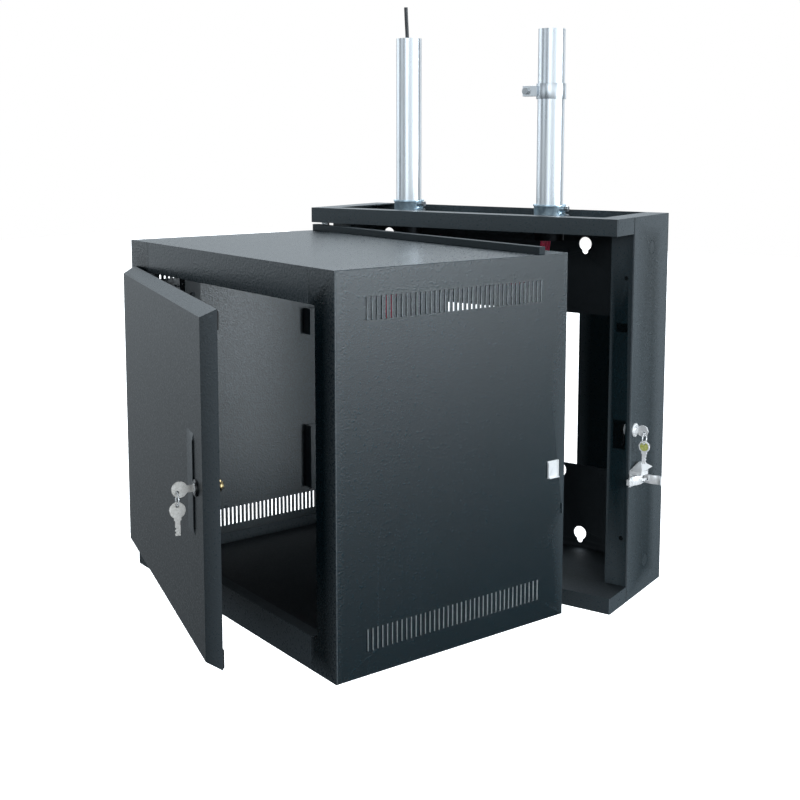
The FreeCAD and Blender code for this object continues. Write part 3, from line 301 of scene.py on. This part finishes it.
M["inner"] = powder("powder_inner", (0.0002, 0.0040, 0.0060), (0.0090, 0.0280, 0.0360), 0.33, grain=430, bump=0.28, dist=0.0010, speck=0.25, spec=1.0)
# Near-black copy of the coat, painted shade: used on the section's inner floor and on the pan's inner floor, seam and
# wall-plate faces, where shade falls inside.
M["floor_in"] = powder("powder_shadow", (0.0001, 0.0012, 0.0022), (0.0012, 0.0040, 0.0062), 0.55, grain=430, bump=0.30, dist=0.0008, speck=0.2, spec=0.10)
M["rail"] = powder("rail_black", (0.0035, 0.0060, 0.0070), (0.010, 0.014, 0.016), 0.34, grain=700, bump=0.10, dist=0.0003, speck=0.3)
M["tube"] = metal("galvanised_tube", (0.84, 0.90, 0.96), (0.97, 0.99, 1.0), 0.30, scale=(1.0, 1.0, 0.06), freq=90.0, bump=0.06, dirt=0.12, metallic=0.85)
M["casting"] = metal("zinc_casting", (0.42, 0.58, 0.70), (0.66, 0.80, 0.88), 0.34, freq=150.0, bump=0.15, dirt=0.25, metallic=0.8)
M["zinc"] = metal("zinc_hardware", (0.42, 0.45, 0.48), (0.70, 0.72, 0.73), 0.34, freq=240.0, bump=0.08)
# Near-white, mostly diffuse chrome: the white base colour is a painted reflection standing in for the bright
# surroundings chrome mirrors.
M["chrome"] = metal("bright_chrome", (0.93, 0.94, 0.95), (0.99, 0.99, 0.99), 0.20, freq=120.0, bump=0.03, dirt=0.04, metallic=0.25)
M["nickel"] = metal("key_nickel", (0.52, 0.49, 0.45), (0.78, 0.75, 0.71), 0.34, freq=300.0, bump=0.10, dirt=0.30, metallic=0.6)
# Light grey for the vent slots' cut faces: a painted glint standing in for light caught on the slot edges.
M["edge"] = plastic("slot_edge_painted_glint", (0.70, 0.74, 0.76), (0.95, 0.96, 0.97), 0.36)
M["seal"] = powder("seal_dark", (0.0002, 0.0030, 0.0042), (0.0010, 0.0085, 0.0115), 0.5, grain=430, bump=0.3, dist=0.0008, speck=0.2, spec=0.15)
# Near-black, almost unreflective coat for the bevelled seam faces: painted shadow in the gap between the pan's top and
# side channel.
M["slit"] = powder("slit_dark", (0.0001, 0.0004, 0.0006), (0.0004, 0.0012, 0.0018), 0.7, grain=430, bump=0.1, dist=0.0004, speck=0.1, spec=0.03)
# Lighter copy for the finger pull: painted light on its ramp.
M["pull"] = powder("powder_pull", (0.0140, 0.0200, 0.0230), (0.0400, 0.0500, 0.0560), 0.33, grain=460, bump=0.25, dist=0.0008, speck=0.3, spec=0.6)
# Near-black steel, partly painted shade: the rail screws and the connectors' lower ends and conduit locknuts under the
# pan's top rail are dark as shade; the pan lock's nut and cam use it too.
M["dark_steel_and_shade"] = metal("dark_steel_and_painted_shade", (0.02, 0.022, 0.024), (0.05, 0.054, 0.058), 0.42, freq=240.0, bump=0.08)
M["brass"] = metal("brass", (0.55, 0.38, 0.16), (0.86, 0.68, 0.38), 0.26, freq=200.0, bump=0.05)
M["lock_black"] = plastic("lock_black", (0.006, 0.007, 0.008), (0.016, 0.017, 0.018), 0.18, coat=0.5)
M["capped"] = capped_key("key_capped", tuple(B(601.3, 82.0, 255.9)), 0.0070)
M["cable"] = plastic("cable_grey", (0.035, 0.037, 0.040), (0.075, 0.078, 0.082), 0.42, freq=500.0)
M["red"] = plastic("cable_red", (0.62, 0.012, 0.065), (0.85, 0.040, 0.13), 0.34, freq=500.0, coat=0.25)
M["rubber"] = plastic("bumper_rubber", (0.012, 0.012, 0.012), (0.03, 0.03, 0.03), 0.7)


# ---------------------------------------------------------- mesh utilities
def new_object(name, mesh, body, mat, smooth=None):
    o = bpy.data.objects.new(name, mesh)
    scene.collection.objects.link(o)
    if mat is not None:
        mesh.materials.clear()
        mesh.materials.append(mat)
    if smooth is not None:
        shade(o, smooth)
    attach(o, body)
    return o


def shade(o, deg=35.0, rounded=()):
    """Flat sheets stay flat; curved walls and rounded edges are smooth."""
    me = o.data
    bm = bmesh.new()
    bm.from_mesh(me)
    lim = math.radians(deg)
    rounded = set(rounded)
    bm.faces.ensure_lookup_table()
    for e in bm.edges:
        if len(e.link_faces) == 2:
            e.smooth = e.calc_face_angle(0.0) < lim
    for f in bm.faces:
        curved = f.index in rounded
        if not curved:
            for e in f.edges:
                if len(e.link_faces) == 2 and e.smooth:
                    g = e.link_faces[0] if e.link_faces[1] is f else e.link_faces[1]
                    if g.index not in rounded and e.calc_face_angle(0.0) > 0.015:
                        curved = True
                        break
        f.smooth = curved
    bm.to_mesh(me)
    bm.free()


def refined(node, mat, width=0.0006, segs=2, pick=None, name=None, angle=32.0, other=None):
    """The node's own shape with clean faces and rounded edges, in its place."""
    src = NODES[node]
    me = src.data.copy()
    me.name = (name or node + "_shape")
    bm = bmesh.new()
    bm.from_mesh(me)
    bmesh.ops.remove_doubles(bm, verts=bm.verts, dist=1e-6)
    bmesh.ops.dissolve_limit(bm, angle_limit=math.radians(0.6), verts=bm.verts, edges=bm.edges)
    inv = INVERSE[FRAME[BODY_OF[node]]]
    chosen, new = [], set()
    if width > 0:
        for e in bm.edges:
            if len(e.link_faces) != 2:
                continue
            if e.calc_face_angle(0.0) < math.radians(angle):
                continue
            if pick is not None:
                a, b = (inv @ e.verts[0].co) * 1000, (inv @ e.verts[1].co) * 1000
                if not pick(a, b):
                    continue
            chosen.append(e)
        if chosen:
            made = bmesh.ops.bevel(bm, geom=chosen, offset=width, segments=segs, profile=0.5, affect="EDGES",
                                   clamp_overlap=True, miter_outer="SHARP", loop_slide=True)
            new = set(made["faces"])
    bmesh.ops.recalc_face_normals(bm, faces=bm.faces)
    bm.faces.index_update()
    rounded = [f.index for f in new if f.is_valid]
    second = []
    if other is not None:
        rotm = inv.to_3x3()
        second = [f.index for f in bm.faces if other[1]((rotm @ f.normal).normalized(), (inv @ f.calc_center_median()) * 1000)]
    bm.to_mesh(me)
    bm.free()
    o = new_object(name or node + "_shape", me, BODY_OF[node], mat)
    if second:
        me.materials.append(other[0])
        for i in second:
            me.polygons[i].material_index = 1
    shade(o, 50.0 if rounded else 28.0, rounded)
    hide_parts(node)
    return o


def paint(node, mat):
    o = NODES[node]
    if not o.material_slots:
        o.data.materials.append(mat)
    for s in o.material_slots:
        s.material = mat


# ------------------------------------------------------------------ cables
def cord_curve(name, pts, radius, body, mat, node):
    cu = bpy.data.curves.new(name, "CURVE")
    cu.dimensions = "3D"
    sp = cu.splines.new("NURBS")
    sp.points.add(len(pts) - 1)
    for p, q in zip(sp.points, pts):
        p.co = (*B(*q), 1.0)
    sp.order_u = 3
    sp.use_endpoint_u = True
    sp.resolution_u = 8
    cu.bevel_depth = radius
    cu.bevel_resolution = 5
    cu.use_fill_caps = True
    cu.materials.append(mat)
    o = bpy.data.objects.new(name, cu)
    scene.collection.objects.link(o)
    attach(o, body)
    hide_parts(node)
    return o


XA, XB, YC = 134.0, 413.0, 110.0
cord_curve("feed_cable_run",
           [(XA - 1.0, YC - 2.0, 880.0), (XA - 1.6, YC - 2.5, 905.0), (XA - 2.6, YC - 2.6, 930.0),
            (XA - 4.4, YC - 2.2, 952.0), (XA - 5.4, YC - 2.0, 971.0)],
           0.0032, "back_pan", M["cable"], "feed_cable")
for k in range(4):
    y, dx, dz = 98.0 + 6.2 * k, 1.3 * k, -1.2 * k
    cord_curve("data_cable_run_%d" % (k + 1), [
        (XB - 6.0 + dx, y, 592.0), (XB - 6.5 + dx, y, 563.0), (XB - 16.0 + dx, y, 535.0),
        (XB - 38.0 + dx, y, 512.0 + dz), (XB - 70.0 + dx, y, 500.0 + dz), (XB - 106.0 + dx, y, 501.0 + dz),
        (XB - 142.0 + dx, y, 516.0 + dz), (XB - 174.0 + dx, y, 540.0 + dz), (XB - 206.0 + dx, y, 559.0 + dz),
        (XB - 242.0 + dx, y, 562.0 + dz), (XB - 275.0 + dx, y, 546.0 + dz), (XB - 300.0 + dx, y, 516.0 + dz),
        (XB - 316.0 + dx, y, 474.0 + dz), (XB - 324.0 + dx, y, 424.0), (XB - 327.0 + dx, y, 370.0),
        (XB - 325.0 + dx, y, 314.0), (XB - 320.0 + dx, y, 258.0), (XB - 316.0 + dx, y, 202.0),
        (XB - 316.0 + dx, y, 150.0), (XB - 318.0 + dx, y, 104.0), (XB - 310.0 + dx, y, 66.0),
        (XB - 286.0 + dx, y, 40.0), (XB - 250.0 + dx, y, 29.5), (XB - 208.0 + dx, y, 28.95), (XB - 166.0 + dx, y, 28.9)],
        0.0027, "back_pan", M["red"], "data_cable_%d" % (k + 1))

# ------------------------------------------------------------ sheet metal
near = lambda a, b, i, v, tol=0.05: abs(a[i] - v) < tol and abs(b[i] - v) < tol
W, Dd, H = 584.0, 405.0, 540.0

# On the right side the vent slots' cut faces take the light painted-glint material.
refined("section_side_right", M["shell"], 0.0007, 2, lambda a, b: near(a, b, 0, W) and a[1] < 30.0 and b[1] < 30.0 or near(a, b, 0, W) and (near(a, b, 2, 0.0) or near(a, b, 2, H)),
        other=(M["edge"], lambda n, c: abs(n[1]) > 0.9 and 45.0 < c[1] < 360.0 and (30.0 < c[2] < 68.0 or 470.0 < c[2] < 506.0)))
# The left side, seen from inside, takes the lighter, more reflective inner copy: painted light.
refined("section_side_left", M["inner"], 0.0007, 2, lambda a, b: near(a, b, 0, 0.0))
seam = lambda a, b: near(a, b, 1, 0.0) and (near(a, b, 0, 61.0) or near(a, b, 0, W - 61.0))
# Top face lighter, front-facing beam faces darker: painted light and shade on one sheet.
refined("section_top", M["shell_top"], 0.0007, 1, seam, other=(M["front"], lambda n, c: c[1] < 18.5 and (n[1] < -0.3 or c[2] < 530.0)))
# The bottom beam takes an even darker, less reflective front copy: painted shade.
# The section's inner floor faces get the near-black painted-shade coat.
refined("section_bottom", M["front_low"], 0.0007, 1, seam, other=(M["floor_in"], lambda n, c: c[2] < 50.0 and c[1] > 1.9 and n[2] > 0.3))
# The front stiles take the darker front copy: painted shade.
refined("front_stile_right", M["front"], 0.0007, 2, lambda a, b: near(a, b, 1, 0.0) and (near(a, b, 0, W) or near(a, b, 0, W - 45.0) or near(a, b, 0, W - 61.0)))
refined("front_stile_left", M["front"], 0.0007, 2, lambda a, b: near(a, b, 1, 0.0) and (near(a, b, 0, 0.0) or near(a, b, 0, 45.0) or near(a, b, 0, 61.0)))
refined("seal_strip", M["seal"], 0.0009, 2)
for n in ("rack_rail_left", "rack_rail_right"):
    refined(n, M["rail"], 0.0)
# Brackets and pivot plates take the lighter inner copy: painted light.
for n in ("rail_brackets", "rear_rail_brackets", "pivot_plates"):
    refined(n, M["inner"], 0.0006)
refined("door_hinge_brackets", M["front"], 0.0004)
# The keeper plate takes the near-white chrome: painted reflection.
refined("keeper_plate", M["chrome"], 0.0003)
refined("door_skin", M["door"], 0.0012, 3, lambda a, b: a[1] < -0.2 or b[1] < -0.2)
# The finger pull takes the lighter pull copy: painted light on its ramp.
refined("finger_pull", M["pull"], 0.0)
refined("door_hinge_leaves", M["front"], 0.0004)
refined("door_bumpers", M["rubber"], 0.0006)
corner = lambda a, b: near(a, b, 0, 584.0) and (near(a, b, 1, 0.0) or near(a, b, 1, 64.0)) and abs(a[2] - b[2]) > 12.0
# seam_line picks the bevelled faces at the corner seam, which are painted near-black as the shadow in the gap.
seam_line = lambda n, c: c[0] > 582.0 and abs(c[1] - 64.0) < 1.9 and abs(n[0]) > 0.3 and abs(n[1]) > 0.3
refined("top_pan", M["pan"], 0.0015, 1, corner, other=(M["slit"], seam_line))
# The pan's inner floor and its corner seam are painted near-black as shade.
refined("bottom_pan", M["pan"], 0.0015, 1, corner, other=(M["floor_in"], lambda n, c: seam_line(n, c) or n[2] > 0.5 and 3.0 < c[1] < 204.0 and c[2] < 60.0))
refined("side_channel_right", M["pan"], 0.0015, 1, corner, other=(M["slit"], seam_line))
refined("side_channel_left", M["pan"], 0.0)
# The wall plates' front-facing faces inside the pan are painted near-black as shade.
refined("wall_plate_top", M["pan"], 0.0, other=(M["floor_in"], lambda n, c: n[1] < -0.5))
refined("wall_plate_bottom", M["pan"], 0.0, other=(M["floor_in"], lambda n, c: n[1] < -0.5))

# The latch, pan lock and key parts take the near-white chrome, a painted reflection.
# rail_screws and conduit_locknuts take the near-black steel as painted shade.
for n, k in (("conduit_left", "tube"), ("conduit_right", "tube"), ("conduit_locknuts", "dark_steel_and_shade"),
             ("connector_screws", "zinc"), ("conduit_clamp", "tube"), ("clamp_bolt", "zinc"), ("latch_base", "chrome"),
             ("latch_lever", "chrome"), ("latch_claw", "chrome"), ("latch_pivot_pin", "zinc"), ("pan_lock_body", "chrome"),
             ("pan_lock_nut", "dark_steel_and_shade"), ("pan_lock_plug", "chrome"), ("pan_lock_cam", "dark_steel_and_shade"), ("pan_key", "chrome"),
             ("pan_key_ring", "chrome"), ("pan_spare_key", "capped"), ("door_lock_body", "lock_black"), ("door_lock_nut", "zinc"),
             ("door_lock_plug", "chrome"), ("door_lock_cam", "brass"), ("door_key", "nickel"), ("door_key_ring", "chrome"),
             ("door_spare_key", "nickel"), ("pivot_pins", "zinc"), ("pivot_spacers", "zinc"), ("pivot_bushes", "brass"),
             ("rail_screws", "dark_steel_and_shade"), ("door_hinge_pins", "zinc")):
    refined(n, M[k], 0.0003 if n not in ("conduit_left", "conduit_right", "pan_key_ring", "door_key_ring") else 0.0)


# The connectors' lower ends, under the pan's top rail, are painted near-black steel as shade.
refined("conduit_connectors", M["casting"], 0.0003, other=(M["dark_steel_and_shade"], lambda n, c: c[2] < 610.0))

# ------------------------------------------------------------------- stage
def plane(name, size, loc, mat):
    bm = bmesh.new()
    bmesh.ops.create_grid(bm, x_segments=1, y_segments=1, size=size)
    me = bpy.data.meshes.new(name)
    bm.to_mesh(me)
    bm.free()
    o = bpy.data.objects.new(name, me)
    o.location = loc
    me.materials.append(mat)
    scene.collection.objects.link(o)
    return o


fl = Nodes("studio_floor")
fl.link(fl.ramp(fl.noise(fl.mapped(), 3.0), [(0.3, (0.97, 0.97, 0.97)), (0.7, (1.0, 1.0, 1.0))]), fl.bsdf.inputs["Base Color"])
fl.set(Roughness=0.8)
ft = fl.t
glow = ft.nodes.new("ShaderNodeEmission")
glow.inputs["Color"].default_value = (1, 1, 1, 1)
glow.inputs["Strength"].default_value = 1.0
clear = ft.nodes.new("ShaderNodeBsdfTransparent")
seen = ft.nodes.new("ShaderNodeMixShader")
path = ft.nodes.new("ShaderNodeLightPath")
geo = ft.nodes.new("ShaderNodeNewGeometry")
use = ft.nodes.new("ShaderNodeMath")
use.operation = "SUBTRACT"
use.use_clamp = True
ft.links.new(path.outputs["Is Camera Ray"], use.inputs[0])
ft.links.new(geo.outputs["Backfacing"], use.inputs[1])
ft.links.new(use.outputs[0], seen.inputs[0])
ft.links.new(clear.outputs[0], seen.inputs[1])
add = ft.nodes.new("ShaderNodeAddShader")
ft.links.new(glow.outputs[0], add.inputs[0])
ft.links.new(fl.bsdf.outputs[0], add.inputs[1])
ft.links.new(add.outputs[0], seen.inputs[2])
ft.links.new(seen.outputs[0], fl.out.inputs["Surface"])
plane("floor", 14.0, (0, 0, -1.1), fl.mat)

world = bpy.data.worlds.new("studio")
scene.world = world
world.use_nodes = True
wt = world.node_tree
wt.nodes.clear()
wo = wt.nodes.new("ShaderNodeOutputWorld")
mixw = wt.nodes.new("ShaderNodeMixShader")
lp = wt.nodes.new("ShaderNodeLightPath")
white = wt.nodes.new("ShaderNodeBackground")
white.inputs["Color"].default_value = (1, 1, 1, 1)
white.inputs["Strength"].default_value = 1.0
envb = wt.nodes.new("ShaderNodeBackground")
tc = wt.nodes.new("ShaderNodeTexCoord")


def wmath(op, a, b=None):
    n = wt.nodes.new("ShaderNodeMath")
    n.operation = op
    for i, v in ((0, a), (1, b)):
        if v is None:
            continue
        if isinstance(v, (int, float)):
            n.inputs[i].default_value = v
        else:
            wt.links.new(v, n.inputs[i])
    return n.outputs[0]


def lobe(az, el, sharp):
    """Soft patch of studio light: azimuth from +x towards +y, elevation, tightness."""
    n = wt.nodes.new("ShaderNodeVectorMath")
    n.operation = "DOT_PRODUCT"
    a, e = math.radians(az), math.radians(el)
    wt.links.new(tc.outputs["Generated"], n.inputs[0])
    n.inputs[1].default_value = (math.cos(a) * math.cos(e), math.sin(a) * math.cos(e), math.sin(e))
    return wmath("EXPONENT", wmath("MULTIPLY", wmath("SUBTRACT", n.outputs["Value"], 1.0), sharp))


# soft patches of light round the room: azimuth, elevation, tightness, strength
LOBES = [(14, 7, 40.0, 11.5), (0, 5, 40.0, 2.0), (-8, -12, 50.0, 3.0), (120, 58, 12.0, 5.9), (190, 5, 40.0, 1.6),
         (170, 5, 40.0, 1.05), (80, 5, 40.0, 1.0), (126, 28, 12.0, 0.95), (235, 5, 40.0, 1.0), (80, -8, 40.0, 0.55),
         (270, 28, 12.0, 0.30), (170, -8, 40.0, 0.30), (150, -20, 40.0, 0.20), (235, -8, 40.0, 0.20), (162, 28, 12.0, 0.19),
         (234, 28, 12.0, 0.12), (285, 10, 30.0, 2.9), (325, 8, 14.0, 1.1)]
total = None
for az, el, sharp, power in LOBES:
    one = wmath("MULTIPLY", lobe(az, el, sharp), power)
    total = one if total is None else wmath("ADD", total, one)
wt.links.new(total, envb.inputs["Strength"])
envb.inputs["Color"].default_value = (0.90, 0.99, 1.06, 1.0)
wt.links.new(lp.outputs["Is Camera Ray"], mixw.inputs[0])
wt.links.new(envb.outputs[0], mixw.inputs[1])
wt.links.new(white.outputs[0], mixw.inputs[2])
wt.links.new(mixw.outputs[0], wo.inputs["Surface"])


kick = bpy.data.lights.new("kicker", "SPOT")
kick.energy = 90.0
kick.spot_size, kick.spot_blend = math.radians(11.0), 0.7
kick.shadow_soft_size = 0.22
ko = bpy.data.objects.new("kicker", kick)
ko.location = (2.1, -1.5, 0.75)
ko.rotation_mode = "QUATERNION"
ko.rotation_quaternion = (B(602.0, 85.0, 240.0) - ko.location).to_track_quat("-Z", "Y")
scene.collection.objects.link(ko)

scene.view_settings.view_transform = "Standard"
scene.view_settings.look = "None"
scene.view_settings.exposure = 0.0
scene.view_settings.gamma = 1.0
